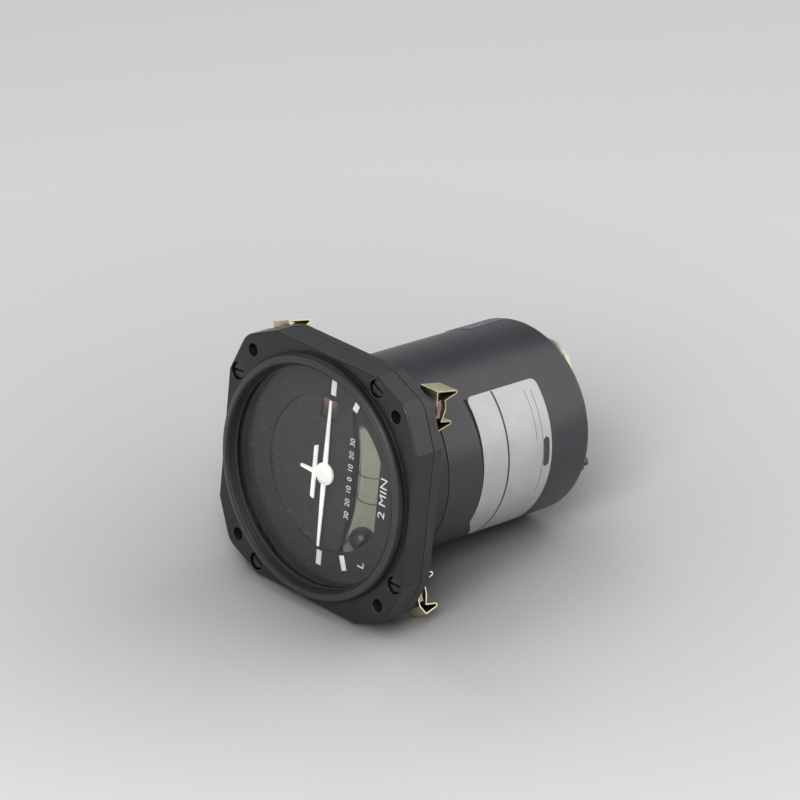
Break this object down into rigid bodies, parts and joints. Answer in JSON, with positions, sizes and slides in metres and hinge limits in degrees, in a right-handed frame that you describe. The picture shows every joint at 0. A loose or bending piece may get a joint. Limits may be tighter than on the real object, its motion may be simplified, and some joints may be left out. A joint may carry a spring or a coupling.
{
  "type": "aircraft turn coordinator",
  "caption": "Panel flight instrument with an aeroplane pointer driven by a canted electric gyro, a ball slip indicator and a rear plug.",
  "frame": {"origin": "centre of the flange's front face, on the case axis and on the circle of the four panel holes", "axes": "+Y runs rearward along the case axis, so the dial faces -Y; the instrument lies on its left side as pictured, so the dial reader's right is +Z and the reader's up is -X"},
  "size_m": [0.0826, 0.107, 0.0826],
  "materials": {
    "bezel_black": "satin",
    "flange_black": "satin",
    "can_anodised": "satin",
    "seal_rubber": "matte",
    "dark_screw": "satin",
    "clip_bronze": "satin",
    "nut_bronze": "satin",
    "lens_glass": "polished",
    "dial_black": "matte",
    "mark_white": "matte",
    "pointer_white": "satin",
    "tube_glass": "polished",
    "pale_plate": "matte",
    "ball_black": "gloss",
    "wire_dark": "satin",
    "cap_grey": "matte",
    "steel": "satin",
    "brass": "satin",
    "plate_alu": "satin",
    "stator_core": "satin",
    "flag_red": "matte",
    "board_green": "satin",
    "component_dark": "gloss",
    "foil": "satin",
    "sticker": "matte",
    "shell_plated": "satin",
    "insert_grey": "matte",
    "coil_copper": "gloss"
  },
  "bodies": {
    "case": {"front_bezel": "bezel_black", "flange_seam_gasket": "seal_rubber", "mounting_flange": "flange_black", "bezel_screws": "dark_screw", "clip_springs": "clip_bronze", "clip_nuts": "nut_bronze", "lens_gasket": "seal_rubber", "lens": "lens_glass", "lens_spacer_ring": "bezel_black", "dial_spacer_ring": "bezel_black", "dial_mask": "dial_black", "dial_plate": "dial_black", "dial_index_bars": "mark_white", "inclinometer_tube": "tube_glass", "inclinometer_end_caps": "cap_grey", "inclinometer_index_wires": "wire_dark", "inclinometer_back_plate": "pale_plate", "pointer_bearings": "brass", "chassis_front_plate": "plate_alu", "chassis_rear_plate": "plate_alu", "chassis_posts": "plate_alu", "chassis_screws": "steel", "front_pivot_bracket": "plate_alu", "rear_pivot_bracket": "plate_alu", "gimbal_bearings": "brass", "dashpot_cylinder": "brass", "dashpot_bracket": "plate_alu", "restraining_spring": "steel", "spring_anchor": "plate_alu", "flag_bracket": "plate_alu", "flag_pivot": "steel", "flag_coil": "coil_copper", "circuit_board": "board_green", "board_standoffs": "brass", "board_components": "component_dark", "rear_can": "can_anodised", "case_joint_seal": "seal_rubber", "rear_pillars": "plate_alu", "rear_can_screws": "dark_screw", "ground_stud": "dark_screw", "connector_shell": "shell_plated", "connector_locknut": "shell_plated", "connector_insert": "insert_grey", "connector_contacts": "brass", "data_plate": "foil", "inspection_seal": "sticker"},
    "gimbal": {"gimbal_frame": "plate_alu", "gimbal_pivots": "steel", "gimbal_drive_arm": "steel", "damper_drive_pin": "steel", "rotor_bearings": "steel", "motor_stator": "stator_core"},
    "rotor": {"gyro_rotor": "brass", "rotor_axle": "steel"},
    "pointer": {"aeroplane_pointer": "pointer_white", "pointer_shaft": "steel", "pointer_fork": "brass"},
    "damper": {"dashpot_piston": "steel"},
    "flag": {"power_flag": "flag_red"},
    "ball": {"slip_ball": "ball_black"}
  },
  "joints": [
    {"name": "gimbal_tilt", "type": "hinge", "parent": "case", "child": "gimbal", "pos_m": [0, 0.05, 0], "axis": [0.5, 0.866, 0], "range_deg": [-12, 12], "stiffness_Nm_per_rad": 0.02},
    {"name": "rotor_spin", "type": "hinge", "parent": "gimbal", "child": "rotor", "pos_m": [0, 0.05, 0], "axis": [0, 0, 1], "continuous": true},
    {"name": "pointer_turn", "type": "hinge", "parent": "case", "child": "pointer", "pos_m": [0, 0.01, 0], "axis": [0, 1, 0], "range_deg": [-31, 31]},
    {"name": "damper_slide", "type": "slide", "parent": "case", "child": "damper", "axis": [0, 0, 1], "range_m": [-0.00275, 0.00275], "deforming": ["restraining_spring"]},
    {"name": "flag_swing", "type": "hinge", "parent": "case", "child": "flag", "pos_m": [-0.0135, 0.008, 0.0125], "axis": [0, 1, 0], "range_deg": [0, 40]},
    {"name": "ball_roll", "type": "hinge", "parent": "case", "child": "ball", "pos_m": [-0.05, 0.011, 0], "axis": [0, 1, 0], "range_deg": [-34.72, 0]}
  ],
  "couplings": [
    {"joint": "pointer_turn", "follows": "gimbal_tilt", "ratio": 2.5},
    {"joint": "damper_slide", "follows": "gimbal_tilt", "m_per_rad": 0.0129}
  ]
}
